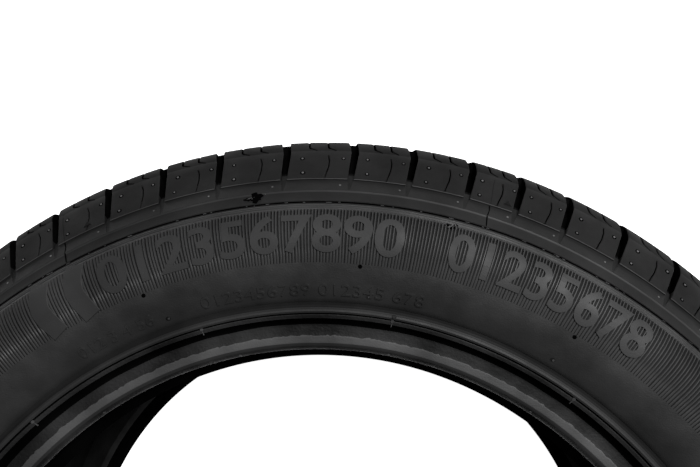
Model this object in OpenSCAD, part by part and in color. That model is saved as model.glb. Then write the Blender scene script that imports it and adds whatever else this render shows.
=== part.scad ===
// Radial trailer tyre for a 13 inch rim, one vulcanised moulding, lying on its sidewall.
// The axis of rotation is Z, and the origin is the middle of the tyre on that axis.
// Half the section is drawn as points of radius and height, mirrored and turned round the axis.

/* [Overall size] */
// Diameter over the middle of the tread
overall_d = 526; // [516:1:550]
// Width across the sidewalls at the widest place
section_w = 201; // [194:1:210]
// Diameter of the cylindrical seat that grips the rim
seat_d = 328.4; // [322:0.1:332]
// Distance between the outer ends of the two seats
seat_span = 159; // [150:1:166]

/* [Tread arch] */
// Radius of the tread's arch from side to side
arch_r = 450; // [300:10:900]
// Width of the arched part of the tread
arch_w = 120; // [114:1:126]
// Radius of the rounding from tread to shoulder
shoulder_r = 25; // [18:1:30]
// Angle from the axis at which the shoulder falls away
shoulder_lean = 52.5; // [50:0.5:55]

/* [Shoulder lines] */
// How far the shoulder blocks reach below the top of the tread
block_drop = 25.4; // [22:0.1:27]
// How far below the top of the tread the recessed band ends
band_drop = 30.6; // [29:0.1:32]
// How far below the top of the tread the mould's parting line lies
parting_drop = 36; // [34:0.1:37]
// Height of the step at the foot of the blocks
block_step = 0.8; // [0.4:0.1:1.5]
// Height of the soft step where the recessed band ends
band_step = 0.3; // [0.1:0.1:0.4]
// Width of the fine groove along the parting line
parting_w = 1; // [0.6:0.1:1.4]

/* [Sidewall] */
// Radius of the bulge between shoulder and widest place
bulge_r = 21.6; // [18:0.2:26]
// Radius of the sidewall from the widest place to the rim rib
lower_r = 40; // [36:1:48]

/* [Rim rib and bead] */
// Height of the rim rib's crest above the seat
rim_rib_rise = 18; // [16:0.5:20]
// How far the rim rib stands proud of the sidewall
rim_rib_proud = 1.3; // [0.8:0.1:2.5]
// Width of the rim rib at its foot
rim_rib_w = 3.3; // [2.4:0.1:4.5]
// Height above the seat of the ledge under the rim rib
ledge_rise = 14; // [13:0.5:15]
// Height above the seat where the bead's flat side begins
bead_side_rise = 11.6; // [10:0.1:12.5]
// Radius of the heel between the bead's side and its seat
heel_r = 4.5; // [3:0.1:6]
// Length of the cylindrical seat
seat_len = 9; // [6:0.5:11]
// How far the toe reaches inwards past the seat
toe_drop = 2.4; // [1:0.1:3]
// Length of the toe's slope along the axis
toe_len = 6; // [4:0.5:8]
// Thickness of the toe's rounded end
toe_t = 2.6; // [1.5:0.1:4]

/* [Walls] */
// Thickness from the cavity to the top of the tread
crown_t = 18.5; // [15:0.5:21]
// Thickness of the sidewall
wall_t = 10; // [7:0.5:12]
// Radius of the cavity's shoulder
cavity_r = 30; // [24:1:36]
// Angle through which the cavity turns below its widest place
cavity_turn = 48; // [42:1:54]
// Width of the bead across its root
bead_t = 19; // [15:0.5:21]
// Height of the bead's root above the seat
bead_root_rise = 8; // [6:0.5:10]

/* [Round grooves] */
// Distance from the middle of the tread to each inner round groove
inner_groove_z = 15; // [13:0.5:18]
// Width of the inner round grooves
inner_groove_w = 9; // [6:0.5:10]
// Distance from the middle of the tread to each outer round groove
outer_groove_z = 43.5; // [40:0.5:46]
// Width of the outer round grooves
outer_groove_w = 8; // [5:0.5:10]
// Depth of the round grooves
groove_depth = 7.5; // [6.5:0.5:8.5]
// How much narrower each round groove is at its floor than at its top
groove_draft = 2.4; // [1:0.2:4]

/* [Cross grooves] */
// How many times the run of pitches repeats round the tyre
pitch_runs = 5; // [4:1:6]
// How much longer a long pitch is, and a short one shorter, as a share of the middle pitch
pitch_ratio = 0.15; // [0:0.01:0.2]
// How much shallower the cross grooves are than the round ones
cross_rise = 1; // [0.7:0.1:2.5]
// Width of a cross groove on the tread
cross_top_w = 4; // [3:0.1:5]
// Width of a cross groove at its bend
cross_w = 3.1; // [2:0.1:4]
// Width of a cross groove at its lower end
cross_end_w = 1.6; // [1:0.1:2.5]
// Distance from the edge of the arch to the bend of a cross groove, along the axis
cross_bend = 15; // [12:0.5:15.5]
// Sideways lean of a cross groove between the edge of the arch and its bend
cross_lean = 2; // [0:0.1:4]
// Sideways lean back from the bend to the lower end
cross_back = 1.2; // [0:0.1:3]
// Depth of a cross groove at the foot of the blocks
cross_foot_depth = 2.4; // [1.5:0.1:4]
// Direction of the first cross groove, clockwise from +Y
first_groove = -37.05; // [-180:0.05:180]

/* [Sipes] */
// Width of the sipes
sipe_w = 0.8; // [0.6:0.1:1.2]
// Depth of the sipes in the tread
sipe_depth = 5; // [3:0.5:5.5]
// Place of the first hooked sipe, as a share of the pitch
hook_a = 0.28; // [0.2:0.01:0.35]
// Place of the second hooked sipe, as a share of the pitch
hook_b = 0.56; // [0.5:0.01:0.65]
// Distance from the edge of the arch to the bend of a hooked sipe, along the axis
hook_bend = 12.5; // [8:0.5:14]
// Sideways lean of a hooked sipe between the edge of the arch and its bend
hook_lean = 1.4; // [0:0.1:3]
// Sideways reach of the hook
hook_len = 3.3; // [2:0.1:5]
// Distance from the bend of a hooked sipe to the hook's tip, along the axis
hook_rise = 1.7; // [0.5:0.1:2.5]
// Place of the sipe in the block's side, as a share of the pitch
side_sipe_at = 0.61; // [0.5:0.01:0.65]
// Depth of the sipe in the block's side
side_sipe_depth = 2.5; // [1.5:0.1:3.5]

/* [Hidden] */
rubber = [0.13, 0.13, 0.13];
$fn = 120;

// The pitches of one run, 0 for a middle one, 1 for a long one and -1 for a short one
pitch_run = [0, 0, 0, 1, 1, 0, 0, -1, -1, 0, 0, -1];

// Straight steps that each curve of the section is drawn in
arch_steps = 8;
shoulder_steps = 3;
bulge_steps = 5;
lower_steps = 5;
heel_steps = 4;
// How far a cut runs past the surface it opens
past = 6;
// Length of the soft step below the recessed band, for each unit of its height
soft_slope = 3;
// Share of the rim rib's width that lies on the bead's side of its crest
crest_share = 1 / 3;

top_r = overall_d / 2;
half_w = section_w / 2;
seat_r = seat_d / 2;
seat_out = seat_span / 2;
seat_in = seat_out - seat_len;

// A direction turned from the radius towards the side, and the points of an arc
function dir(a) = [cos(a), sin(a)];
function arc(c, r, a, b, n) = [for (i = [0:n]) c + r * dir(a + (b - a) * i / n)];
function flip(points) = [for (i = [len(points) - 1:-1:0]) [points[i][0], -points[i][1]]];

// The arch, the rounding that leaves it, and the straight shoulder that follows
arch_c = [top_r - arch_r, 0];
arch_edge = asin(arch_w / 2 / arch_r);
shoulder_c = arch_c + (arch_r - shoulder_r) * dir(arch_edge);
fall = [-sin(shoulder_lean), cos(shoulder_lean)];
out = dir(shoulder_lean);
fall_top = shoulder_c + shoulder_r * out;
function arch_at(z) = arch_c[0] + sqrt(arch_r * arch_r - z * z);
function on_fall(drop, depth) =
    fall_top + fall * (fall_top[0] - top_r + drop) / sin(shoulder_lean) - out * depth;

// The bulge is tangent to the recessed shoulder and to the widest height
recess = (fall_top - out * block_step) * out;
bulge_z = half_w - bulge_r;
bulge_c = [(recess - bulge_r - bulge_z * out[1]) / out[0], bulge_z];
lower_c = [bulge_c[0], half_w - lower_r];

// The rim rib stands on the lower sidewall
function lower_turn(r) = asin((lower_c[0] - r) / lower_r);
function lower_z(r) = lower_c[1] + lower_r * cos(lower_turn(r));
rim_rib_at = seat_r + rim_rib_rise;
rim_rib_foot = rim_rib_at + rim_rib_w * (1 - crest_share);
rim_rib_crest = [rim_rib_at, lower_z(rim_rib_at) + rim_rib_proud];
rim_rib_under = [rim_rib_at - rim_rib_w * crest_share, rim_rib_crest[1] - rim_rib_proud];

// The bead's side, seat and toe
bead_side_z = seat_out + heel_r;
ledge = [seat_r + ledge_rise, (rim_rib_under[1] + bead_side_z) / 2];
toe = [seat_r - toe_drop, seat_in - toe_len];

// The outside, from the edge of the arch to the toe
outside = concat(
    arc(shoulder_c, shoulder_r, arch_edge, shoulder_lean, shoulder_steps),
    [on_fall(block_drop, 0),
     on_fall(block_drop + block_step, block_step),
     on_fall(band_drop, block_step),
     on_fall(band_drop + band_step * soft_slope, block_step - band_step),
     on_fall(parting_drop - parting_w / 2, block_step),
     on_fall(parting_drop, block_step + parting_w),
     on_fall(parting_drop + parting_w / 2, block_step)],
    arc(bulge_c, bulge_r, shoulder_lean, 90, bulge_steps),
    [for (i = [1:lower_steps]) lower_c + lower_r * dir(90 + lower_turn(rim_rib_foot) * i / lower_steps)],
    [rim_rib_crest, rim_rib_under, ledge, [seat_r + bead_side_rise, bead_side_z]],
    arc([seat_r + heel_r, seat_out], heel_r, 90, 180, heel_steps),
    [[seat_r, seat_in], toe]
);

// The cavity runs inside the arch, the shoulder and the sidewall at the walls' thickness
cavity_arch_r = arch_r - crown_t;
cavity_edge = shoulder_lean
    - acos((recess - wall_t - cavity_r - arch_c * out) / (cavity_arch_r - cavity_r));
cavity_c = arch_c + (cavity_arch_r - cavity_r) * dir(cavity_edge);

// The inside, from the toe to the edge of the cavity's arch
inside = concat(
    [[toe[0] + toe_t / 2, toe[1] - toe_t],
     [seat_r + bead_root_rise, bead_side_z - bead_t]],
    arc(lower_c, lower_r - wall_t, 90 + cavity_turn, 90, lower_steps),
    [for (i = [1:bulge_steps])
        bulge_c + (bulge_r - wall_t) * dir(90 + (shoulder_lean - 90) * i / bulge_steps)],
    arc(cavity_c, cavity_r, shoulder_lean, cavity_edge, shoulder_steps)
);

// Half the arch without its ends, which the shoulders hold
function arch(r, edge, n) = [for (i = [1 - n:n - 1]) arch_c + r * dir(edge * i / n)];
section = concat(
    arch(arch_r, arch_edge, arch_steps / 2),
    outside,
    inside,
    arch(cavity_arch_r, -cavity_edge, arch_steps / 2),
    flip(inside),
    flip(outside)
);

// A round groove's section, cut from the tread
module round_groove(z, w) {
    floor_w = w - groove_draft;
    floor_r = arch_at(z) - groove_depth;
    polygon([
        [floor_r, z - floor_w / 2], [floor_r, z + floor_w / 2],
        [top_r + past, z + w / 2], [top_r + past, z - w / 2]
    ]);
}

// The turned body with its round grooves
module casing() {
    rotate_extrude()
        difference() {
            polygon(section);
            for (side = [-1, 1]) {
                round_groove(side * inner_groove_z, inner_groove_w);
                round_groove(side * outer_groove_z, outer_groove_w);
            }
        }
}

// A side view of radius and height, as wide as given across the radius
module across(w) {
    rotate([90, 0, 0]) linear_extrude(w, center = true) children();
}

// A cut is where a plan, seen along the radius, meets a side view
module cut(plan, side) {
    reach = block_drop + past;
    intersection() {
        translate([top_r - reach, 0, 0]) rotate([90, 0, 90]) linear_extrude(2 * reach) polygon(plan);
        across(2 * reach) polygon(side);
    }
}

// A ribbon of even width along a path
function along(path, i) =
    let (a = path[max(i - 1, 0)], b = path[min(i + 1, len(path) - 1)]) (b - a) / norm(b - a);
function ribbon(path, w) = concat(
    [for (i = [0:len(path) - 1]) let (d = along(path, i)) path[i] + [-d[1], d[0]] * w / 2],
    [for (i = [len(path) - 1:-1:0]) let (d = along(path, i)) path[i] + [d[1], -d[0]] * w / 2]
);

// Where a cut of a given depth begins, in the middle of the outer round groove
function cut_start(depth) = [arch_at(outer_groove_z) - depth, outer_groove_z];

// The cross groove bends at the edge of the shoulder and runs out at the recessed band
module cross_groove() {
    band_end = on_fall(band_drop - block_step, block_step);
    bend_z = arch_w / 2 + cross_bend;
    depth = groove_depth - cross_rise;
    lean = cross_lean * (bend_z - outer_groove_z) / cross_bend;
    middle = [[lean, outer_groove_z], [0, bend_z], [cross_back, band_end[1]]];
    widths = [cross_top_w, cross_w, cross_end_w];
    cut(
        concat(
            [for (i = [0:2]) middle[i] + [widths[i] / 2, 0]],
            [for (i = [2:-1:0]) middle[i] - [widths[i] / 2, 0]]
        ),
        concat(
            [[top_r + past, outer_groove_z], cut_start(depth)],
            arc(shoulder_c, shoulder_r - depth, arch_edge, shoulder_lean, 1),
            [on_fall(block_drop, cross_foot_depth), band_end, band_end + out * past,
             [top_r + past, bend_z + past]]
        )
    );
}

// A hooked sipe crosses the tread from the outer round groove and turns along its edge
module hooked_sipe() {
    bend_z = arch_w / 2 + hook_bend;
    tip = [-hook_lean - hook_len, bend_z + hook_rise];
    start = hook_lean * (arch_w / 2 - outer_groove_z) / hook_bend;
    cut(
        ribbon([[start, outer_groove_z], [-hook_lean, bend_z], tip], sipe_w),
        [[top_r + past, outer_groove_z], cut_start(sipe_depth), fall_top - out * sipe_w,
         fall_top + out * past, [top_r + past, fall_top[1]]]
    );
}

// A shallow sipe runs down the block's side almost to its foot
module side_sipe() {
    top = fall_top + fall * sipe_w / 2;
    foot = on_fall(block_drop - sipe_w / 2, 0);
    across(sipe_w) polygon([
        top - out * side_sipe_depth, foot - out * side_sipe_depth, foot + out * past, top + out * past
    ]);
}

// Directions of the pitches, and the length of each
run_sum = pitch_run * [for (p = pitch_run) 1];
pitches = pitch_runs * len(pitch_run);
middle_pitch = 360 / (pitches + pitch_ratio * run_sum * pitch_runs);
function pitch(i) = middle_pitch * (1 + pitch_ratio * pitch_run[i % len(pitch_run)]);
function pitch_start(i) = i == 0 ? 0 : pitch_start(i - 1) + pitch(i - 1);

// One shoulder's cuts
module shoulder_cuts() {
    for (i = [0:pitches - 1]) {
        at = 90 - first_groove - pitch_start(i);
        rotate([0, 0, at]) cross_groove();
        rotate([0, 0, at - hook_a * pitch(i)]) hooked_sipe();
        rotate([0, 0, at - hook_b * pitch(i)]) hooked_sipe();
        rotate([0, 0, at - side_sipe_at * pitch(i)]) side_sipe();
    }
}

module tyre() {
    color(rubber)
    difference() {
        casing();
        shoulder_cuts();
        rotate([180, 0, 0]) shoulder_cuts();
    }
}

tyre();
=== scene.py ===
# %% [markdown]
# # A trailer tyre, looked at from close above
# The real thing is one piece of black rubber, pressed hard into a warm mould. All that shows was
# once the inside of that mould: grooves, fine ribs, numbers, vent marks and the thin lines where
# the mould's parts met. We draw each of these flat, in millimetres, and then lay it on the tyre.

import math
import random

import bmesh
import bpy
import numpy as np
from mathutils import Matrix, Vector


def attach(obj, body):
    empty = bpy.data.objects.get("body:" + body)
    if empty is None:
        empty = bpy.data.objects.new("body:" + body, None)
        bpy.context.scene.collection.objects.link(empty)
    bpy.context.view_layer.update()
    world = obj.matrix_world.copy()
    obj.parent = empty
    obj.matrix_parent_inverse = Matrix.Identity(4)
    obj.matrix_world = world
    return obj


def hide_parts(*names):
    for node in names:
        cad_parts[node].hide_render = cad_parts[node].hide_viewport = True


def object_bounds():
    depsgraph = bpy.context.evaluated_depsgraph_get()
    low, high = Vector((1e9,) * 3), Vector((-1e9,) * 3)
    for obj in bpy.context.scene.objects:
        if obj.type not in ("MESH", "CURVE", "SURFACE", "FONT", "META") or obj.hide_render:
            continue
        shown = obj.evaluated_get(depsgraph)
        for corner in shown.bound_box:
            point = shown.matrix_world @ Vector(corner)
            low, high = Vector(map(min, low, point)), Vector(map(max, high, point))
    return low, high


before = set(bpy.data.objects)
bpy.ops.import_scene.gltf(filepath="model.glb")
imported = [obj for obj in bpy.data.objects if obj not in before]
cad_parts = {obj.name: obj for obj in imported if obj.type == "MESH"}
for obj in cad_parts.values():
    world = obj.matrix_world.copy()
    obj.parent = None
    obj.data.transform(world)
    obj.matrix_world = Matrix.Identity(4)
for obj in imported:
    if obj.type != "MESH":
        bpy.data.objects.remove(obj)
cad_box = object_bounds()
print("the tyre's box, in metres:", [[round(x, 4) for x in corner] for corner in cad_box])

# %% [markdown]
# ## The sizes
# A tyre is drawn as a section: a flat outline of radius and height that is turned round the axis.
# These are the section's driving sizes. The sidewall is kept lower than the widest place by the
# relief, because the raised numbers are what touches the tyre's full width.

# %% Driving sizes of the section
mm = 0.001
top_r, half_w, relief = 263.0, 100.5, 0.7
seat_r, seat_out, heel_r = 164.2, 79.5, 4.5
arch_r, arch_half, shoulder_r, shoulder_lean = 450.0, 60.0, 25.0, 52.5
foot_drop, band_drop, parting_drop = 25.4, 30.6, 36.0
block_step, band_step = 0.8, 0.3
bulge_r, lower_r = 21.6, 40.0
groove_depth, wall_t, crown_t, cavity_r = 7.5, 10.0, 18.5, 30.0
inner_groove, outer_groove = (15.0, 9.0), (43.5, 8.0)
print("overall diameter", 2 * top_r, "mm, width", 2 * half_w, "mm")


# %% [markdown]
# ## A line to lay things on
# Every smooth stretch of the section is made of arcs that meet in tangents. We sample it densely
# and keep, for each place along it, the radius, the height and the direction that points out of
# the rubber. Later a flat drawing is laid on the tyre by looking these up, which is simpler and
# more exact than a shrinkwrap, because nothing has to be searched for.

# %% Arcs and lines
def turned(angle):
    return np.array([math.cos(math.radians(angle)), math.sin(math.radians(angle))])


def arc(centre, radius, start, end, steps):
    return [centre + radius * turned(a) for a in np.linspace(start, end, steps + 1)]


class Line:
    """A smooth line of the section, measured along its own length in millimetres."""

    def __init__(self, points):
        self.points = np.array(points)
        steps = np.diff(self.points, axis=0)
        self.v = np.concatenate([[0], np.cumsum(np.hypot(*steps.T))])
        along = np.gradient(self.points, self.v, axis=0)
        along /= np.linalg.norm(along, axis=1)[:, None]
        self.out = np.stack([along[:, 1], -along[:, 0]], 1)

    def at(self, v, h=0.0):
        """Radius and height of the place v along the line and h above it."""
        v, h = np.asarray(v, float), np.asarray(h, float)
        place = [np.interp(v, self.v, self.points[:, k]) for k in (0, 1)]
        out = [np.interp(v, self.v, self.out[:, k]) for k in (0, 1)]
        length = np.hypot(*out)
        return np.stack([p + h * o / length for p, o in zip(place, out)], -1)

    def where_z(self, z):
        return float(np.interp(z, self.points[:, 1], self.v))

    def where_r(self, r):
        return float(np.interp(-r, -self.points[:, 0], self.v))


# %% The shoulder's line, from the middle of the tread down to the parting line
arch_c = np.array([top_r - arch_r, 0])
arch_edge = math.degrees(math.asin(arch_half / arch_r))
shoulder_c = arch_c + (arch_r - shoulder_r) * turned(arch_edge)
out = turned(shoulder_lean)
fall = np.array([-out[1], out[0]])
fall_top = shoulder_c + shoulder_r * out
fall_end = fall_top + 30 * fall
shoulder = Line(
    arc(arch_c, arch_r, 0, arch_edge, 120)
    + arc(shoulder_c, shoulder_r, arch_edge, shoulder_lean, 60)[1:]
    + [fall_top + (fall_end - fall_top) * s for s in np.linspace(0, 1, 61)[1:]]
)


def below_top(drop):
    """Place along the shoulder's line of the ring that lies this far below the tread's top."""
    return shoulder.where_r(top_r - drop)


v_tread = shoulder.where_z(outer_groove[0] + outer_groove[1] / 2)
v_arch, v_bend = shoulder.where_z(arch_half), shoulder.where_z(75.0)
v_foot, v_band = below_top(foot_drop), below_top(band_drop)
v_parting = below_top(parting_drop)
print("the shoulder blocks reach from", round(v_tread, 1), "to", round(v_foot, 1), "mm along it")

# %% The sidewall's line, from the recessed band over the bulge to the rim rib
side_w = half_w - relief
recess = (fall_top - block_step * out) @ out
bulge_z = side_w - bulge_r
bulge_c = np.array([(recess - bulge_r - bulge_z * out[1]) / out[0], bulge_z])
lower_c = np.array([bulge_c[0], side_w - lower_r])
rib_foot_r = 184.4
lower_end = 90 + math.degrees(math.asin((lower_c[0] - rib_foot_r + 4) / lower_r))
side_start = fall_top + fall * (v_foot - shoulder.where_z(fall_top[1])) - block_step * out
side_end = bulge_c + bulge_r * out
side = Line(
    [side_start + (side_end - side_start) * s for s in np.linspace(0, 1, 60)[:-1]]
    + arc(bulge_c, bulge_r, shoulder_lean, 90, 60)
    + arc(lower_c, lower_r, 90, lower_end, 60)[1:]
)
print("the sidewall is widest at radius", round(bulge_c[0], 1), "mm")

# %% [markdown]
# ## From numbers to an object
# A turned surface is a grid: one direction runs round the tyre and the other along the section.
# We hand Blender the whole grid at once. The grid closes on itself both ways, so the mesh has an
# inside and an outside and no open edge. Edges sharper than thirty degrees stay crisp.

# %% Helpers that make an object
crisp = math.radians(30)


def on_circle(r, z, azimuth):
    """Points in metres, with azimuth in radians clockwise from +Y, seen from above."""
    return np.stack([r * np.sin(azimuth), r * np.cos(azimuth), z + 0 * azimuth], -1) * mm


def finish_piece(name, mesh, *finishes):
    for finish in finishes:
        mesh.materials.append(finish)
    mesh.shade_smooth()
    mesh.set_sharp_from_angle(angle=crisp)
    piece = bpy.data.objects.new(name, mesh)
    bpy.context.scene.collection.objects.link(piece)
    return piece


def closed_grid(name, points, finishes, strips=None):
    """A ring whose points are a grid of (round the tyre, along the section, xyz).

    strips tells, for each strip of the section, which of the finishes it has.
    """
    around, along = points.shape[:2]
    i, j = np.meshgrid(np.arange(around), np.arange(along), indexing="ij")
    i2, j2 = (i + 1) % around, (j + 1) % along
    quads = np.stack([i * along + j, i * along + j2, i2 * along + j2, i2 * along + j], -1)
    quads = quads.reshape(-1, 4)
    flat = points.reshape(-1, 3)
    a, b, c, d = (flat[quads[:, k]] for k in range(4))
    if np.einsum("ij,ij->i", a, np.cross(c - a, d - b)).sum() < 0:
        quads = quads[:, ::-1]
    mesh = bpy.data.meshes.new(name)
    mesh.from_pydata(flat.tolist(), [], quads.tolist())
    if strips is not None:
        mesh.polygons.foreach_set("material_index", np.tile(strips, around).astype(np.int32))
    return finish_piece(name, mesh, *finishes)


def turn_section(name, section, columns, finishes, strips=None, shift=None):
    """Turns a closed section round the axis. shift moves each point by (radius, height)."""
    azimuth = np.linspace(0, 2 * math.pi, columns, endpoint=False)[:, None]
    section = np.array(section)
    r, z = section[None, :, 0] + 0 * azimuth, section[None, :, 1] + 0 * azimuth
    if shift is not None:
        dr, dz = shift(azimuth, np.arange(len(section))[None, :])
        r, z = r + dr, z + dz
    return closed_grid(name, on_circle(r, z, azimuth + 0 * r), finishes, strips)


# %% [markdown]
# ## The rubber
# Rubber looks black, but it is a dark grey with a satin skin. The skin is mottled: talc and mould
# release leave paler clouds, and the mould's own machining leaves a fine grain. One function makes
# each rubber from its tone, its roughness and the strength of its grain, so that the tread, the
# sidewall and the bead are cousins and not copies.

# %% A rubber made of nodes
def rubber(name, tone, pale, roughness, shine, grain, grain_size, streaks=0.0):
    """tone and pale are the two greys that clouds mix, grain is the height of the bumps in mm."""
    material = bpy.data.materials.new(name)
    material.use_nodes = True
    nodes, links = material.node_tree.nodes, material.node_tree.links
    shader = nodes["Principled BSDF"]
    shader.inputs["Specular IOR Level"].default_value = shine
    place = nodes.new("ShaderNodeTexCoord")

    def noise(scale, detail, stretch=(1, 1, 1)):
        squeeze = nodes.new("ShaderNodeMapping")
        squeeze.inputs["Scale"].default_value = stretch
        links.new(place.outputs["Object"], squeeze.inputs["Vector"])
        texture = nodes.new("ShaderNodeTexNoise")
        texture.inputs["Scale"].default_value = scale
        texture.inputs["Detail"].default_value = detail
        links.new(squeeze.outputs["Vector"], texture.inputs["Vector"])
        return texture.outputs["Fac"]

    def ramp(value, low, high, start=0.35, end=0.65):
        colours = nodes.new("ShaderNodeValToRGB")
        colours.color_ramp.elements[0].position = start
        colours.color_ramp.elements[1].position = end
        colours.color_ramp.elements[0].color = (low, low, low * 1.01, 1)
        colours.color_ramp.elements[1].color = (high, high, high * 1.01, 1)
        links.new(value, colours.inputs["Fac"])
        return colours.outputs["Color"]

    links.new(ramp(noise(38, 6), tone, pale), shader.inputs["Base Color"])
    links.new(ramp(noise(90, 5), roughness - 0.07, roughness + 0.07), shader.inputs["Roughness"])
    bump = nodes.new("ShaderNodeBump")
    bump.inputs["Distance"].default_value = grain * mm
    bump.inputs["Strength"].default_value = 1.0
    links.new(noise(1 / (grain_size * mm), 4), bump.inputs["Height"])
    links.new(bump.outputs["Normal"], shader.inputs["Normal"])
    if streaks:
        second = nodes.new("ShaderNodeBump")
        second.inputs["Distance"].default_value = streaks * mm
        links.new(noise(160, 3), second.inputs["Height"])
        links.new(bump.outputs["Normal"], second.inputs["Normal"])
        links.new(second.outputs["Normal"], shader.inputs["Normal"])
    return material


tread_rubber = rubber("tread_rubber", 0.0045, 0.010, 0.7, 0.16, 0.05, 0.7, streaks=0.08)
crest_rubber = rubber("crest_rubber", 0.004, 0.009, 0.8, 0.09, 0.05, 0.7, streaks=0.1)
band_rubber = rubber("band_rubber", 0.007, 0.014, 0.65, 0.22, 0.05, 0.6, streaks=0.08)
# Lighter, glossier rubber for the blocks' lower chamfer: a painted highlight line along their foot.
painted_highlight_edge_rubber = rubber("painted_highlight_edge_rubber", 0.02, 0.04, 0.5, 0.5, 0.04, 0.5)
# Dark rubber where the grooves' painted shade lightens towards the blocks' foot.
fading_painted_shade_rubber = rubber("fading_painted_shade_rubber", 0.002, 0.004, 0.8, 0.05, 0.05, 0.6)
# Near-black rubber: painted shade on the grooves' floors and walls and on the bead's shadowed band
# and toe; it also colours the dark dots, vent rings and sector lines.
painted_shade_and_dark_marks_rubber = rubber("painted_shade_and_dark_marks_rubber", 0.001, 0.003, 0.9, 0.0, 0.05, 0.6)
side_rubber = rubber("side_rubber", 0.011, 0.025, 0.5, 0.8, 0.08, 0.6, streaks=0.14)
# Lighter rubber of the sidewall's top ring; a thin strip of it at the band's end is a painted
# highlight line.
ring_and_highlight_line_rubber = rubber("ring_and_highlight_line_rubber", 0.015, 0.03, 0.52, 0.36, 0.06, 0.5, streaks=0.08)
rib_rubber = rubber("rib_rubber", 0.026, 0.042, 0.55, 0.36, 0.04, 0.5)
number_rubber = rubber("number_rubber", 0.022, 0.032, 0.6, 0.35, 0.05, 0.6)
ledge_rubber = rubber("ledge_rubber", 0.004, 0.026, 0.7, 0.2, 0.3, 1.1, streaks=0.3)
rib_side_rubber = rubber("rib_side_rubber", 0.007, 0.014, 0.7, 0.12, 0.05, 0.6)
heel_rubber = rubber("heel_rubber", 0.015, 0.03, 0.6, 0.3, 0.08, 0.6)
bead_rubber = rubber("bead_rubber", 0.045, 0.09, 0.62, 0.3, 0.16, 0.6, streaks=0.15)
liner_rubber = rubber("liner_rubber", 0.008, 0.015, 0.5, 0.3, 0.05, 0.7, streaks=0.12)
fresh_rubber = rubber("fresh_rubber", 0.07, 0.14, 0.6, 0.3, 0.02, 0.4)
# Black for the parting seam and the torn nick and flake: painted shadow of their hollows.
painted_pit_shadow = rubber("painted_pit_shadow", 0.001, 0.002, 0.95, 0.0, 0.02, 0.4)

# %% [markdown]
# ## The casing
# The casing is what is left when the shoulder blocks are taken away: the tread's middle with its
# round grooves, the floor of the cross grooves, the smooth sidewall and the hollow inside. The
# fine-ribbed band and the bead get finer grids of their own, so the casing dips under them.

# %% The casing's section
edge = 0.35
rib_top_r, rib_end_r = 223.0, 201.0
rib_band = (side.where_r(rib_top_r), side.where_r(rib_end_r))
bead_start_r = rib_foot_r + 0.6
dip = 0.8


def arch_at(z):
    """Radius of the tread's arch, a hair low, because the solid's own mesh is made of flats."""
    return arch_c[0] + math.sqrt(arch_r**2 - z**2) - 0.08


def tread_middle():
    """The plain ribs and round grooves, from the middle of the tread to the outer groove."""
    points = [(arch_at(z), z) for z in np.linspace(0, 10, 4)]
    for z, w in (inner_groove, outer_groove):
        floor, low, high = arch_at(z) - groove_depth, z - w / 2, z + w / 2
        points += [(arch_at(low), low - edge), (arch_at(low) - edge, low)]
        points += [(floor + edge, low + 1.0), (floor, low + 1.6), (floor, high - 1.6)]
        if z == inner_groove[0]:
            points += [(floor + edge, high - 1.0), (arch_at(high) - edge, high)]
            points += [(arch_at(z), z) for z in np.linspace(high + edge, 39, 6)]
    return points


v_tie, tie_depth = shoulder.where_z(66.5), 1.15


def cross_floor():
    """The floor of the cross grooves: a shallow tie over the crest, then deep, then fading."""
    places = [v_tread, v_tie, v_tie + 4, v_bend, v_foot - 8, v_foot - 4, v_foot, v_band]
    depths = [tie_depth, tie_depth, 6.0, 5.6, 4.0, 2.2, 1.3, block_step - band_step + 0.06]
    v = np.linspace(v_tread, v_band, 24)
    return list(shoulder.at(v, -np.interp(v, places, depths)))


def recess_to_parting():
    """Below the band: the soft step down, the recess and the fine groove of the parting line."""
    places = [(v_band + 0.1, block_step - band_step + 0.02), (v_band + 0.85, block_step + 0.02)]
    places += [(v_parting - 0.9, block_step), (v_parting - 0.3, block_step + 0.7)]
    places += [(v_parting + 0.3, block_step + 0.7), (v_parting + 0.7, block_step - 0.1)]
    return [shoulder.at(v, -depth) for v, depth in places]


def sidewall():
    """The smooth sidewall, lower under the ribbed band, down to the rim rib."""
    start = side.where_r(top_r - parting_drop - 1.4)
    end = side.where_r(bead_start_r)
    first, last = rib_band
    fine_rings = start + np.array([0, 0.4, 0.7, 1.0, 1.3, 1.6, 1.9, 2.2, 2.5])
    v = np.concatenate([
        fine_rings, [first], [first + 0.3], np.linspace(first + 2, last - 2, 8),
        [last - 0.3], np.linspace(last, end, 10),
    ])
    inside = (v > first + 0.2) & (v < last - 0.2)
    height = np.where(inside, -dip, 0.0)
    height[[2, 5, 7]] = 0.14, 0.12, -0.1
    return list(side.at(v, height))


def bead_core():
    """Under the bead's own ring, a little inside its skin, and round the toe to the cavity."""
    return [(bead_start_r - 1.5, 87.0), (178.0, 85.0), (176.0, 82.0), (168.0, 81.5),
            (166.5, 79.0), (166.0, 68.0), (165.0, 64.0), (172.0, 65.0)]


def cavity():
    """The air cavity, from the bead's root to the middle of the tread."""
    inner_arch_r = arch_r - crown_t
    reach = recess - wall_t - cavity_r - arch_c @ out
    edge_angle = shoulder_lean - math.degrees(math.acos(reach / (inner_arch_r - cavity_r)))
    corner = arch_c + (inner_arch_r - cavity_r) * turned(edge_angle)
    return (
        arc(lower_c, lower_r - wall_t, 138, 90, 14)
        + arc(bulge_c, bulge_r - wall_t, 90, shoulder_lean, 8)[1:]
        + arc(corner, cavity_r, shoulder_lean, edge_angle, 8)
        + arc(arch_c, inner_arch_r, edge_angle, 0, 8)[1:-1]
    )


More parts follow.
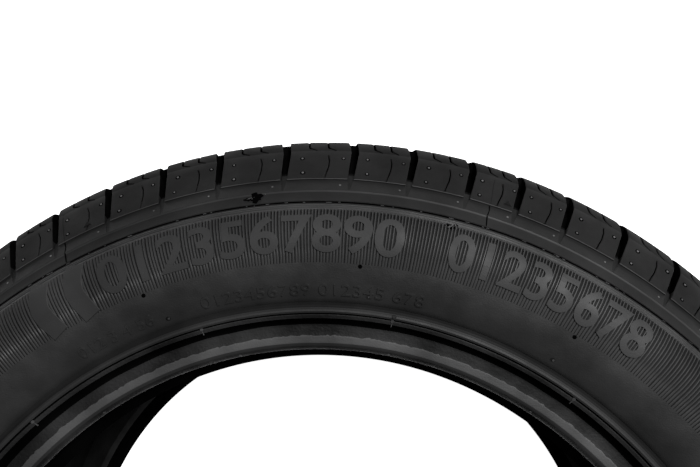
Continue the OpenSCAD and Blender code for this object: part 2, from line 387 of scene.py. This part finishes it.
# %% Each strip of the section gets a finish, and the section is turned
on_tread, in_painted_groove_shade, on_side, on_liner, on_ring_and_highlight_line, on_band, on_fading_painted_shade = range(7)
# The cross grooves' floor starts with the near-black finish: painted shade.
stretches = [(tread_middle(), on_tread), (cross_floor(), in_painted_groove_shade), (recess_to_parting(), on_band),
             (sidewall(), on_side), (bead_core(), on_side), (cavity(), on_liner)]
half = [tuple(p) for points, _ in stretches for p in points]
finish_of = [k for points, k in stretches for _ in points]
# Heights along the cross-groove floor where its painted shade lightens: darker fading rubber from
# the first, plain tread rubber from the second.
painted_shade_fade_z, foot_z = (shoulder.at(v_foot - before, -depth)[1]
                  for before, depth in ((9.5, 4.5), (6.5, 3.4)))
for k, (r, z) in enumerate(half[:-1]):
    below_arch = min(r - arch_at(z), half[k + 1][0] - arch_at(half[k + 1][1]))
    if finish_of[k] == on_side and r > rib_top_r:
        finish_of[k] = on_ring_and_highlight_line
    # Tread strips more than 1 mm below the arch, inside the round grooves, take the near-black
    # finish: painted shade.
    if finish_of[k] == on_tread and below_arch < -1:
        finish_of[k] = in_painted_groove_shade
    # Near the block's foot the groove floor's painted shade fades: first darker rubber, then plain
    # tread rubber.
    if finish_of[k] == in_painted_groove_shade and z > painted_shade_fade_z:
        finish_of[k] = on_tread if z > foot_z else on_fading_painted_shade
    # A thin strip at the band's end takes the lighter ring rubber: a painted highlight line.
    if finish_of[k] == on_band and abs(r - shoulder.at(v_band)[0]) < 0.4:
        finish_of[k] = on_ring_and_highlight_line
whole = half + [(r, -z) for r, z in half[:0:-1]]
strips = finish_of + finish_of[:0:-1][1:] + [finish_of[0]]
casing = turn_section(
    "casing", whole, 360,
    [tread_rubber, painted_shade_and_dark_marks_rubber, side_rubber, liner_rubber, ring_and_highlight_line_rubber, band_rubber,
     fading_painted_shade_rubber], strips,
)
print("casing:", len(whole), "points in its section,", len(casing.data.polygons), "faces")

# %% [markdown]
# ## The shoulder blocks
# Tread makers draw one pitch flat, then roll it onto the tyre. We do the same. A block is a flat
# outline with thin slits, the sipes. It is filled, raised, chamfered along its top edges, and cut
# into narrow strips so that it can bend. Long, middle and short pitches take turns round the tyre,
# as on the road: equal blocks would hum in one tone.

# %% Lay a flat mesh on the tyre
def lay(mesh, line, around_r, turn=0.0):
    """x runs round the tyre in mm at around_r, y along the line, z stands up from it."""
    co = np.zeros(len(mesh.vertices) * 3, np.float32)
    mesh.vertices.foreach_get("co", co)
    x, v, h = co.reshape(-1, 3).astype(float).T
    place = line.at(v, h)
    laid = on_circle(place[:, 0], place[:, 1], x / around_r + math.radians(turn))
    mesh.vertices.foreach_set("co", laid.astype(np.float32).ravel())
    mesh.update()
    return mesh


def cut_in_strips(bm, places, axis):
    normal = Vector([float(k == axis) for k in range(3)])
    for place in places:
        geometry = bm.verts[:] + bm.edges[:] + bm.faces[:]
        bmesh.ops.bisect_plane(bm, geom=geometry, plane_co=normal * place, plane_no=normal)


def lump(bm, outlines, top, bottom, chamfer):
    """A flat block: the outlines are filled, holes stay open, and the top edges are chamfered."""
    edges = []
    for outline in outlines:
        verts = [bm.verts.new((x, v, top - chamfer)) for x, v in outline]
        edges += [bm.edges.new((a, b)) for a, b in zip(verts, verts[1:] + verts[:1])]
    made = bmesh.ops.triangle_fill(bm, use_beauty=True, use_dissolve=False, edges=edges)
    lid = [f for f in made["geom"] if isinstance(f, bmesh.types.BMFace)]
    bmesh.ops.recalc_face_normals(bm, faces=lid)
    if lid[0].normal.z < 0:
        bmesh.ops.reverse_faces(bm, faces=lid)
    base = bmesh.ops.extrude_face_region(bm, geom=lid, use_keep_orig=True)
    low = [v for v in base["geom"] if isinstance(v, bmesh.types.BMVert)]
    for v in low:
        v.co.z = bottom
    bmesh.ops.recalc_face_normals(bm, faces=bm.faces[:])
    if chamfer:
        bmesh.ops.inset_region(bm, faces=lid, thickness=chamfer, use_even_offset=True)
        for v in {v for f in lid for v in f.verts}:
            v.co.z = top


# %% The outline of a block and of the band below it
around = 249.4
cross_middle = [(v_tread, -3.4), (v_arch, -2.0), (v_bend, 0.0), (v_band, -1.3)]
cross_width = [(v_tread, 4.2), (v_arch, 3.8), (v_bend, 3.4), (v_foot, 2.8), (v_band, 0.9)]


def groove_side(v, which):
    """Place round the tyre of a cross groove's side, which is -1 for left and 1 for right."""
    middle = np.interp(v, *zip(*cross_middle))
    return float(middle + which * np.interp(v, *zip(*cross_width)) / 2)


def strip_outline(pitch, start, end):
    """Outline from one cross groove to the next, between two places along the shoulder."""
    bends = [start] + [v for v in (v_arch, v_bend) if start < v < end] + [end]
    left = [(groove_side(v, 1), v) for v in bends]
    right = [(pitch + groove_side(v, -1), v) for v in bends]
    return left[::-1] + right


def ribbon(path, width):
    """Both sides of a strip along a path. width is one number, or one for each point."""
    path = np.array(path, float)
    along = np.gradient(path, axis=0)
    along /= np.linalg.norm(along, axis=1)[:, None]
    aside = np.stack([-along[:, 1], along[:, 0]], 1) * np.reshape(width, (-1, 1)) / 2
    return [tuple(p) for p in path + aside] + [tuple(p) for p in (path - aside)[::-1]]


sipe_w, hook_shares, side_sipe_share = 0.55, (0.28, 0.56), 0.61
v_hook, v_hook_end = shoulder.where_z(72.3), shoulder.where_z(73.8)


def sipe_start(x):
    """The sipe's short open end at the round groove. The crest bridges it from the rest."""
    return ribbon([(x - 1.9, v_tread), (x - 0.9, v_arch - 6)], sipe_w)


def hooked_sipe(x):
    path = [(x - 0.3, v_arch - 1.5), (x, v_arch), (x + 1.2, v_hook - 1), (x + 1.7, v_hook + 0.1),
            (x + 3.0, v_hook + 0.9), (x + 4.7, v_hook_end)]
    return ribbon(path, [0.6, 0.75, 0.9, 0.8, 0.5, 0.35])


def side_sipe(x):
    start, end = shoulder.where_z(fall_top[1]), v_foot - 0.5
    path = [(x, start), (x + 0.6, start + 3), (x + 0.5, start + 7), (x - 0.9, end)]
    return ribbon(path, sipe_w * 0.8)


def block_outlines(pitch):
    outer = strip_outline(pitch, v_tread, v_foot)
    corner = outer.index(max(outer[: len(outer) // 2], key=lambda p: -p[1]))
    slits = [p for share in hook_shares for p in sipe_start(share * pitch)]
    hooks = [hooked_sipe(share * pitch) for share in hook_shares]
    slitted = outer[: corner + 1] + slits + outer[corner + 1:]
    return [slitted, side_sipe(side_sipe_share * pitch)] + hooks


# %% One run of blocks, short, middle and long, then the whole row
pitch_run = [0, 0, 0, 1, 1, 0, 0, -1, -1, 0, 0, -1]
pitch_runs, pitch_ratio, first_groove = 5, 0.15, -37.05
middle_pitch = 360 / (pitch_runs * sum(1 + pitch_ratio * p for p in pitch_run))
pitches = [middle_pitch * (1 + pitch_ratio * p) for p in pitch_run] * pitch_runs
starts = [first_groove + sum(pitches[:i]) for i in range(len(pitches))]


v_crest = v_hook_end + 0.4
block_root, band_root, block_chamfer = -7.6, -4.2, 0.26


def block_finish(face):
    """0 shoulder, 1 groove wall in painted shade, 2 band, 3 lower edge in a lighter rubber, a
    painted highlight, 4 crest, from a face's place.
    """
    place, normal = face.calc_center_median(), face.normal
    if place.y > v_foot or normal.y > 0.9:
        return 2
    if abs(normal.z) < 0.3:
        # Steep walls high in the grooves and sipes take the near-black rubber: painted shade.
        return 1 if place.y < v_foot - 5 else 0
    # The lower chamfer at the block's foot takes the lighter edge rubber: a painted highlight.
    if normal.y > 0.4 and place.y > v_foot - 1:
        return 3
    return 4 if place.y < v_crest else 0


def block_mesh(degrees):
    pitch = math.radians(degrees) * around
    bm = bmesh.new()
    lump(bm, block_outlines(pitch), 0.0, block_root, block_chamfer)
    lump(bm, [strip_outline(pitch, v_foot - 0.4, v_band)], -block_step, band_root, 0.0)
    cut_in_strips(bm, np.linspace(v_tread, v_arch, 4)[1:], 1)
    cut_in_strips(bm, np.linspace(v_arch, shoulder.where_z(fall_top[1]), 11)[1:], 1)
    cut_in_strips(bm, np.linspace(v_foot, v_band, 4)[1:-1], 1)
    cut_in_strips(bm, [v_crest, v_foot - 5], 1)
    cut_in_strips(bm, np.linspace(-2, pitch + 2, 8)[1:-1], 0)
    bmesh.ops.triangulate(bm, faces=bm.faces[:])
    bm.normal_update()
    for face in bm.faces:
        face.material_index = block_finish(face)
    for v in bm.verts:
        if v.co.y > v_foot + 0.1 and v.co.z > -block_step - 0.01:
            v.co.z += band_step * ((v.co.y - v_foot) / (v_band - v_foot)) ** 2
    mesh = bpy.data.meshes.new("block")
    bm.to_mesh(mesh)
    bm.free()
    return lay(mesh, shoulder, around)


def join_turned(name, parts, *finishes):
    """One mesh out of many (mesh, azimuth) pairs, each turned to its place round the tyre."""
    bm = bmesh.new()
    for mesh, azimuth in parts:
        placed = mesh.copy()
        placed.transform(Matrix.Rotation(-math.radians(azimuth), 4, "Z"))
        bm.from_mesh(placed)
        bpy.data.meshes.remove(placed)
    joined = bpy.data.meshes.new(name)
    bm.to_mesh(joined)
    bm.free()
    return finish_piece(name, joined, *finishes)


kinds = {d: block_mesh(d) for d in sorted(set(pitches))}
blocks = join_turned("blocks", [(kinds[d], s) for d, s in zip(pitches, starts)],
                     tread_rubber, painted_shade_and_dark_marks_rubber, band_rubber, painted_highlight_edge_rubber, crest_rubber)
print("blocks:", len(pitches), "round the tyre,", len(blocks.data.polygons), "triangles")

# %% [markdown]
# ## The fine-ribbed band
# A band of 1012 tiny radial ribs hides the sidewall's small flaws. A texture could fake them, but
# their bright tips show against the light, so they are real: each rib is four columns of a grid,
# two in the valley and two on the crest, and the crest sinks away towards the rim.

# %% Ribs round the sidewall
ribs, rib_h = 1012, 0.55
rib_shares = np.array([0.0, 0.2, 0.45, 0.68])
rib_v = np.array([0, 0.05, 0.5, 1.2, 3, 6, 9, 12, 15, 18, 20.5, 21.6]) / 21.6
rib_fade = np.array([0, 0.5, 1.2, 1, 0.95, 0.9, 0.85, 0.75, 0.6, 0.35, 0.1, 0])
valley_dip = np.array([0, 0.5, 0.9, 0.7, 0.3, 0.1, 0, 0, 0, 0, 0, 0])


def ribbed_band():
    v = rib_band[0] + rib_v * (rib_band[1] - rib_band[0])
    uneven = np.random.default_rng(7)
    places = np.arange(ribs) + uneven.uniform(-0.07, 0.07, ribs)
    azimuth = ((places[:, None] + rib_shares) / ribs).ravel() * 2 * math.pi
    crest = np.tile([0, 1, 1, 0], ribs) * np.repeat(uneven.uniform(0.85, 1.1, ribs), 4)
    height = (crest[:, None] * rib_fade - (crest[:, None] == 0) * valley_dip) * rib_h
    back = side.at(v[[-1, 0]], -1.5)
    front = side.at(np.broadcast_to(v, height.shape), height)
    section = np.concatenate([front, np.broadcast_to(back, (len(azimuth), 2, 2))], 1)
    return on_circle(section[..., 0], section[..., 1], azimuth[:, None] + 0 * section[..., 0])


ribbed = closed_grid("ribbed_band", ribbed_band(), [rib_rubber, tread_rubber])
# The valley floor between ribs takes the darker tread rubber: painted shade between the ribs.
valley = np.repeat(np.tile([0, 0, 0, 1], ribs), len(rib_v) + 2)
ribbed.data.polygons.foreach_set("material_index", valley.astype(np.int32))
print("ribs:", ribs, "with", len(ribbed.data.polygons), "faces")

# %% [markdown]
# ## The bead
# The bead is the edge that grips the wheel. From outside in there is the rim rib that guards the
# wheel's flange, a ledge in shadow whose darkest band is painted black as a painted shadow, a rough
# band where the cord fabric shows through the rubber, the rounded heel and the sharp toe, also
# painted black as shadow. The heights along it wander a little, as the real ones do.

# %% The bead's ring
rib_z = side.at(side.where_r(rib_foot_r))[1]
# Each place of the skin has its radius, its height and its finish: 0 side, 1 ledge, 2 black,
# a painted shadow, 3 pale bead, 4 side of the rim rib, 5 heel.
skin = [
    (bead_start_r, rib_z - 1.0, 0), (bead_start_r, rib_z + 0.02, 4), (183.6, rib_z - 0.3, 4),
    (182.6, rib_z + 0.1, 5), (181.8, rib_z + 0.85, 5), (181.0, rib_z + 0.95, 5),
    (180.3, rib_z + 0.5, 2), (180.0, rib_z - 0.3, 2), (179.7, rib_z - 0.6, 1),
    (179.3, rib_z - 0.55, 1), (178.0, rib_z - 1.2, 2), (177.4, rib_z - 2.6, 2), (175.8, 84.9, 2),
    (175.2, 84.5, 1), (174.0, 84.35, 1), (172.2, 84.2, 1), (170.9, 84.1, 1), (170.5, 84.25, 3),
    (169.8, 84.25, 3),
]
heel = arc(np.array([seat_r + heel_r, seat_out]), heel_r, 90, 180, 10)
toe = [(164.2, 74.5), (164.2, 70.6), (163.8, 70.0), (160.4, 65.6), (160.0, 64.9), (160.2, 63.9),
       (162.2, 61.9), (164.4, 62.2), (168.0, 64.0), (172.0, 70.0), (180.0, 86.0)]
bead_section = [p[:2] for p in skin] + [tuple(p) for p in heel] + toe
bead_finish = [p[2] for p in skin] + [3] * 2 + [5] * 2 + [1] * (len(heel) - 5)
# The toe is painted black as well: painted shadow.
bead_finish += [2] * (len(toe) + 1)
ragged_rows, slow_rows = (16, 17), (11, 12, 13)


def wander(azimuth, seed, waves, strength):
    """A smooth random curve round the tyre that closes on itself."""
    chooser = random.Random(seed)
    total = 0 * azimuth
    for wave in waves:
        total = total + math.sqrt(1 / wave) * np.sin(wave * azimuth + chooser.uniform(0, 6.3))
    return strength * total


def bead_shift(azimuth, row):
    ragged = wander(azimuth, 3, range(60, 530, 23), 0.75) * np.isin(row, ragged_rows)
    slow = wander(azimuth, 5, range(7, 60, 6), 0.2) * np.isin(row, slow_rows)
    return ragged + slow, 0 * ragged


bead = turn_section(
    "bead", bead_section, 1080,
    [side_rubber, ledge_rubber, painted_shade_and_dark_marks_rubber, bead_rubber, rib_side_rubber, heel_rubber],
    bead_finish, bead_shift,
)
print("bead:", len(bead_section), "points in its section")

# %% [markdown]
# ## The numbers
# Raised numbers stand flat and smooth over the ribs. Blender's text objects give good digits: we
# thicken the strokes with an offset, turn the text into a mesh, cut it in strips and bend it.

# %% Numbers laid on the sidewall
def text_mesh(words, height, width, bold):
    """The words as a flat filled mesh, height and width in mm, centred on x, standing on y = 0."""
    curve = bpy.data.curves.new("numbers", "FONT")
    curve.body, curve.size, curve.offset = words, 1.0, bold
    curve.align_x, curve.space_character = "LEFT", 1.0
    writing = bpy.data.objects.new("numbers", curve)
    bpy.context.scene.collection.objects.link(writing)
    bpy.context.view_layer.update()
    mesh = bpy.data.meshes.new_from_object(writing)
    bpy.data.objects.remove(writing)
    co = np.zeros(len(mesh.vertices) * 3, np.float32)
    mesh.vertices.foreach_get("co", co)
    co = co.reshape(-1, 3)
    low, high = co.min(0), co.max(0)
    co[:, 0] = ((co[:, 0] - low[0]) / (high[0] - low[0]) - 0.5) * width
    co[:, 1] = (co[:, 1] - low[1]) / (high[1] - low[1]) * height
    mesh.vertices.foreach_set("co", co.ravel())
    return mesh


large = {"top": 220.6, "foot": 205.0, "height": 0.62, "bold": 0.016, "finish": number_rubber}
small = {"top": 192.4, "foot": 187.8, "height": 0.4, "bold": 0.0, "finish": side_rubber}


def numbers(name, words, start, end, top, foot, height, bold, finish):
    """Digits whose tops point away from the axis, from azimuth start to end."""
    middle_r = (top + foot) / 2
    width = math.radians(end - start) * middle_r
    v_top, v_base = side.where_r(top), side.where_r(foot)
    flat = text_mesh(words, v_base - v_top, width, bold)
    bm = bmesh.new()
    bm.from_mesh(flat)
    bmesh.ops.remove_doubles(bm, verts=bm.verts[:], dist=0.002)
    for v in bm.verts:
        v.co = (v.co.x, v_base - v.co.y, height)
    lid = bm.faces[:]
    bmesh.ops.recalc_face_normals(bm, faces=lid)
    base = bmesh.ops.extrude_face_region(bm, geom=lid, use_keep_orig=True)
    for v in base["geom"]:
        if isinstance(v, bmesh.types.BMVert):
            v.co.z = -0.6
    bmesh.ops.recalc_face_normals(bm, faces=bm.faces[:])
    cut_in_strips(bm, np.arange(v_top, v_base, 2.0)[1:], 1)
    cut_in_strips(bm, np.arange(-width / 2, width / 2, 3.0)[1:], 0)
    bmesh.ops.triangulate(bm, faces=bm.faces[:])
    mesh = bpy.data.meshes.new(name)
    bm.to_mesh(mesh)
    bm.free()
    piece = finish_piece(name, lay(mesh, side, middle_r, (start + end) / 2), finish)
    piece.data.shade_flat()
    return piece


number_rows = [
    numbers("first_numbers", "0123567890", -33.0, 1.4, **large),
    numbers("second_numbers", "01235678", 6.3, 29.5, **large),
    numbers("small_numbers", "0123456789 012345 678", -22.9, 5.2, **small),
    numbers("small_numbers_left", "012 3 4 56", -39.4, -29.2, **small),
]
print("numbers:", sum(len(row.data.polygons) for row in number_rows), "triangles")

# %% [markdown]
# ## Bars, pips and mould marks
# The mould leaves its own marks. Air escapes through tiny holes, and the rubber that follows it is
# torn off as a pale pip in a dark ring. Where the mould's sectors meet there is a thin line, and
# along the parting line a ragged seam, painted black as its shadow, with torn flecks. All of them
# are small flat shapes, so one helper raises an outline and lays it on the tyre.

# %% One raised shape, or many in one mesh
def disc(x, v, radius, sides=10):
    angles = np.linspace(0, 2 * math.pi, sides, endpoint=False)
    return [(x + radius * math.cos(a), v + radius * math.sin(a)) for a in angles]


def raised(name, line, shapes, top, depth, finish, chamfer=0.0, strip=4.0):
    """shapes is a list of (azimuth, outline); every outline is raised to top and laid there."""
    bm = bmesh.new()
    for azimuth, outline in shapes:
        one = bmesh.new()
        lump(one, [outline], top, -depth, chamfer)
        v = np.array([p.co.y for p in one.verts])
        cut_in_strips(one, np.arange(v.min() + strip, v.max() - 0.2, strip), 1)
        bmesh.ops.triangulate(one, faces=one.faces[:])
        mesh = bpy.data.meshes.new("one")
        one.to_mesh(mesh)
        one.free()
        lay(mesh, line, line.at(v.mean())[0], azimuth)
        bm.from_mesh(mesh)
        bpy.data.meshes.remove(mesh)
    mesh = bpy.data.meshes.new(name)
    bm.to_mesh(mesh)
    bm.free()
    return finish_piece(name, mesh, finish)


# %% Two plain bent bars beside the numbers
def bent_bar(width):
    path = [(0.0, 223.6), (-0.9, 221.6), (-1.8, 219.2), (-2.7, 216.0), (-3.1, 212.5),
            (-2.6, 209.0), (-1.6, 205.5), (-0.3, 200.8)]
    return ribbon([(x, side.where_r(r)) for x, r in path], width)


bars = raised("bars", side, [(-39.4, bent_bar(8.2)), (-35.15, bent_bar(8.2))], 0.6, 0.6,
              number_rubber, 0.2)

# %% Vent pips on the blocks and on the band below them
chooser = random.Random(11)
pip_spots = ((0.23, 248.0), (0.84, 248.0), (0.22, 240.6), (0.80, 235.0))
pip_places = []
for start, degrees in zip(starts, pitches):
    for share, r in pip_spots:
        level = 0.0 if r > 238 else -block_step
        azimuth = start + (share + chooser.uniform(-0.03, 0.03)) * degrees
        pip_places.append((azimuth, shoulder.where_r(r), level, chooser.uniform(0.85, 1.15)))


def pips(name, radius, height, finish):
    """Small discs at every place, on the blocks and on the lower band."""
    pieces = []
    for level in (0.0, -block_step):
        shapes = [(a, disc(0, v, radius * k, 8)) for a, v, lev, k in pip_places if lev == level]
        pieces.append(raised(name, shoulder, shapes, level + height, 0.3 - level, finish))
    first, second = pieces
    bm = bmesh.new()
    for piece in pieces:
        bm.from_mesh(piece.data)
    bm.to_mesh(first.data)
    bm.free()
    bpy.data.objects.remove(second)
    return first


pip_rings = pips("vent_rings", 1.05, 0.03, painted_shade_and_dark_marks_rubber)
pip_tips = pips("vent_pips", 0.45, 0.2, fresh_rubber)
print("vent pips on one shoulder:", len(pip_places))

# %% Marks on the sidewall
side_dots = [(-28.96 + 25.8 * k, 200.1) for k in range(14)]
side_pips = [(-26.95 + 24.4 * k + chooser.uniform(-1, 1), 188.1) for k in range(14)]
dark_dots = raised("dark_dots", side, [(a, disc(0, side.where_r(r), 0.9)) for a, r in side_dots],
                   0.04, 0.3, painted_shade_and_dark_marks_rubber)
soft_rings = raised("soft_rings", side,
                    [(a, disc(-0.3, side.where_r(r), 1.1)) for a, r in side_pips],
                    0.03, 0.3, ledge_rubber)
soft_dots = raised("soft_dots", side, [(a, disc(0, side.where_r(r), 0.5)) for a, r in side_pips],
                   0.22, 0.3, bead_rubber)

# %% Marks along the shoulder: sector lines and wear triangles
sectors = [-36.2 + 45 * k + 0.75 * (k % 2) for k in range(8)]
wear_marks = [-33.4 + 45 * k - 0.3 * (k % 2) for k in range(8)]


def sector_line():
    path = [(0, v_foot + 0.2), (0.3, v_foot + 3), (-0.2, v_band), (0.2, v_parting - 1)]
    return ribbon(path, [0.5, 0.3, 0.55, 0.3])


def triangle(size, v):
    return [(-size, v + size * 0.9), (0, v - size * 0.9), (size, v + size * 0.9)]


sector_lines = raised("sector_lines", shoulder, [(a, sector_line()) for a in sectors],
                      -block_step + 0.28, 1.0, painted_shade_and_dark_marks_rubber)
block_lines = raised(
    "sector_lines_on_blocks", shoulder,
    [(a, ribbon([(0.4, v_bend - 2), (0, v_bend + 5), (0.3, v_foot - 0.3)], 0.3)) for a in sectors],
    0.06, 0.6, crest_rubber)
wear_triangles = raised(
    "wear_triangles", shoulder,
    [(a, triangle(1.9, shoulder.where_r(241.2))) for a in wear_marks],
    0.35, 0.4, crest_rubber, 0.35)


# %% The ragged black seam along the parting line, and its torn flecks
def seam(name, line, centre, width, top, columns, finish, seed, rough):
    azimuth = np.linspace(0, 2 * math.pi, columns, endpoint=False)
    middle = centre + wander(azimuth, seed, range(40, 520, 23), rough)
    reach = width / 2 * (1 + 0.4 * wander(azimuth, seed + 1, range(30, 700, 31), 0.5))
    reach = np.clip(reach, 0.12, None)
    v = np.stack([middle - reach, middle + reach, middle + reach, middle - reach], 1)
    h = np.array([top, top, top - 1.0, top - 1.0]) + 0 * v
    place = line.at(v, h)
    return closed_grid(name, on_circle(place[..., 0], place[..., 1], azimuth[:, None] + 0 * v),
                       [finish])


# A black strip along the parting line: painted shadow of its fine gap.
painted_seam_shadow = seam("painted_seam_shadow", shoulder, v_parting, 0.6, -block_step + 0.06, 1440, painted_pit_shadow, 21,
                  0.07)
flecks, fleck_count = [], 200
for k in range(fleck_count):
    azimuth, length = chooser.uniform(-180, 180), chooser.uniform(0.4, 1.8)
    v = v_parting + 0.35 + chooser.uniform(-0.15, 0.2)
    path = [(0, v), (length / 2, v + chooser.uniform(-0.15, 0.15)), (length, v)]
    flecks.append((azimuth, ribbon(path, chooser.uniform(0.12, 0.28))))
seam_flecks = raised("seam_flecks", shoulder, flecks, -block_step + 0.16, 0.5, bead_rubber)

# %% Pips on the rim rib and on the heel
rim_marks, heel_marks = [], []
bead_line = Line([(183.6, rib_z - 0.3), (182.6, rib_z + 0.1), (181.8, rib_z + 0.85),
                  (181.0, rib_z + 0.95), (180.3, rib_z + 0.3), (179.3, rib_z - 0.55),
                  (178.0, rib_z - 1.2), (176.8, rib_z - 2.2)])
for k in range(14):
    azimuth = -24.04 + 25.7 * k
    tail = [(0.1, bead_line.where_r(178.9)), (0.0, bead_line.where_r(177.2))]
    rim_marks.append((azimuth, disc(0, bead_line.where_r(179.6), 0.7, 8)))
    rim_marks.append((azimuth, ribbon(tail, 0.3)))
rim_pips = raised("rim_pips", bead_line, rim_marks, 0.2, 0.5, bead_rubber)
heel_line = Line(heel[5:] + [(164.2, 76.0)])
for k in range(16):
    azimuth = -42.3 + 22.2 * k
    heel_marks.append((azimuth, disc(0, heel_line.where_r(165.0), 0.6, 8)))
heel_pips = raised("heel_pips", heel_line, heel_marks, 0.2, 0.4, bead_rubber)
rib_bump = raised("rib_bump", bead_line, [(1.8, disc(0, bead_line.where_r(181.6), 1.0))], 0.3, 0.6,
                  ledge_rubber, 0.2)

# %% [markdown]
# ## Damage
# Two small spots are torn: a jagged nick above the parting line, with pale specks of rubber
# in it, and a flake at the upper edge of the ribs. Their hollows are raised shapes painted black:
# painted shadow. Damage is never regular, so each outline is made of uneven points.

# %% The nick and the flake
def jagged(x, v, width, height, seed, points=24):
    uneven = random.Random(seed)
    outline = []
    for k in range(points):
        angle = 2 * math.pi * k / points
        reach = uneven.uniform(0.5, 1.0)
        outline.append((x + width / 2 * reach * math.cos(angle),
                        v + height / 2 * reach * math.sin(angle)))
    return outline


v_nick = shoulder.where_r(230.4)
# The nick's black is painted shadow of its torn hollow.
nick = raised("nick", shoulder, [(-15.0, jagged(0.6, v_nick, 6.8, 7.0, 4)),
                                 (-15.0, jagged(-2.8, v_nick + 0.4, 4.8, 2.2, 9, 12))],
              -block_step + 0.42, 1.0, painted_pit_shadow)
specks = [(-15.0, jagged(x, v_nick + dv, size, size * 0.7, k, 7)) for k, (x, dv, size) in enumerate(
    [(-2.6, 0.3, 0.8), (-2.0, 0.1, 0.6), (-1.2, 0.6, 0.5), (-3.2, 0.5, 0.5), (-0.4, -0.3, 0.5),
     (-1.5, 0.0, 0.45), (4.4, -1.4, 0.45)])]
nick_specks = raised("nick_specks", shoulder, specks, -block_step + 0.5, 0.8, fresh_rubber)
v_flake = side.where_r(222.4)
# The flake's black is painted shadow of its torn hollow.
flake = raised("flake", side, [(5.9, jagged(0, v_flake, 4.6, 3.0, 15, 14)),
                               (6.5, jagged(0, v_flake - 1.4, 2.2, 1.4, 16, 10))],
               0.5, 0.6, painted_pit_shadow)
flake_specks = raised("flake_specks", side, [
    (5.95, ribbon([(-1.2, v_flake + 0.9), (0, v_flake + 0.1), (0.9, v_flake - 1.2)], 0.4)),
    (6.4, ribbon([(-0.5, v_flake - 1.9), (0.5, v_flake - 0.4)], 0.35))], 0.62, 0.8, bead_rubber)
small_things = [bars, pip_rings, pip_tips, dark_dots, soft_rings, soft_dots, sector_lines,
                block_lines, wear_triangles, painted_seam_shadow, seam_flecks, rim_pips, heel_pips]
torn = [nick, nick_specks, flake, flake_specks, rib_bump]

# %% [markdown]
# ## The floor, the light and the camera
# Product photographers stand black rubber on a bright white table, so that its edge is clean. The
# floor is pale and glows evenly. One wide soft light hangs above the far side, so that what faces
# straight up is brightest. The camera looks down on the tread's edge through a short lens.

# %% Floor
floor_mesh = bpy.data.meshes.new("floor")
floor_half, floor_z = 3.0, cad_box[0].z
corners = [(-floor_half, -floor_half), (floor_half, -floor_half),
           (floor_half, floor_half), (-floor_half, floor_half)]
floor_mesh.from_pydata([(x, y, floor_z) for x, y in corners], [], [(0, 1, 2, 3)])
floor = bpy.data.objects.new("floor", floor_mesh)
bpy.context.scene.collection.objects.link(floor)
pale = bpy.data.materials.new("pale_floor")
pale.use_nodes = True
pale_shader = pale.node_tree.nodes["Principled BSDF"]
pale_shader.inputs["Base Color"].default_value = (0.9, 0.9, 0.9, 1)
pale_shader.inputs["Roughness"].default_value = 0.8
pale_shader.inputs["Emission Color"].default_value = (1, 1, 1, 1)
pale_shader.inputs["Emission Strength"].default_value = 1.0
floor_mesh.materials.append(pale)


# %% Light
def soft_light(name, place, aim, size, power):
    light = bpy.data.lights.new(name, "AREA")
    light.shape, light.size, light.energy = "DISK", size, power
    lamp = bpy.data.objects.new(name, light)
    lamp.location = place
    lamp.rotation_euler = (Vector(aim) - Vector(place)).to_track_quat("-Z", "Y").to_euler()
    bpy.context.scene.collection.objects.link(lamp)
    return lamp


tread_top, lamp_place = (0, 0.24, 0.08), (0.34, 0.6, 1.0)
lamp_size, lamp_watts = 0.5, 13
soft_light("key", lamp_place, tread_top, lamp_size, lamp_watts)
world = bpy.data.worlds.new("studio")
bpy.context.scene.world = world
world.use_nodes = True
world.node_tree.nodes["Background"].inputs["Color"].default_value = (1, 1, 1, 1)
world.node_tree.nodes["Background"].inputs["Strength"].default_value = 0.08
bpy.context.scene.view_settings.view_transform = "Standard"

# %% Camera
photo_w, focal_px = 700, 624.05
pitch, yaw, roll = (math.radians(a) for a in (-4.187, -2.793, -7.223))
camera_y, camera_z = 194.31 * mm, 351.20 * mm
camera_turn = math.radians(1.28)
camera_data = bpy.data.cameras.new("camera")
camera_data.sensor_width = 36
camera_data.lens = focal_px / photo_w * camera_data.sensor_width
camera_data.clip_start = 0.01
camera = bpy.data.objects.new("camera", camera_data)
looks = Matrix.Rotation(roll, 4, "Z") @ Matrix.Rotation(pitch, 4, "X")
looks = looks @ Matrix.Rotation(yaw, 4, "Y")
stands = Matrix.Translation((0, camera_y, camera_z)) @ looks.transposed()
camera.matrix_world = Matrix.Rotation(camera_turn, 4, "Z") @ stands
bpy.context.scene.collection.objects.link(camera)
bpy.context.scene.camera = camera
print("lens", round(camera_data.lens, 1), "mm")

# %% [markdown]
# ## The other side
# The tyre's far side is the near one turned over about the X axis, so its pieces share meshes.

# %% Turn a copy of each side piece over, and let everything ride on the tyre's body
side_pieces = [blocks, ribbed, bead] + number_rows + small_things
everything = [casing] + side_pieces + torn
for piece in side_pieces:
    other = bpy.data.objects.new(piece.name + "_far", piece.data)
    other.matrix_world = Matrix.Rotation(math.pi, 4, "X")
    bpy.context.scene.collection.objects.link(other)
    everything.append(other)
for piece in everything:
    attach(piece, "root")
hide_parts("tyre")

# %% Bring the scene up to date
bpy.context.view_layer.update()
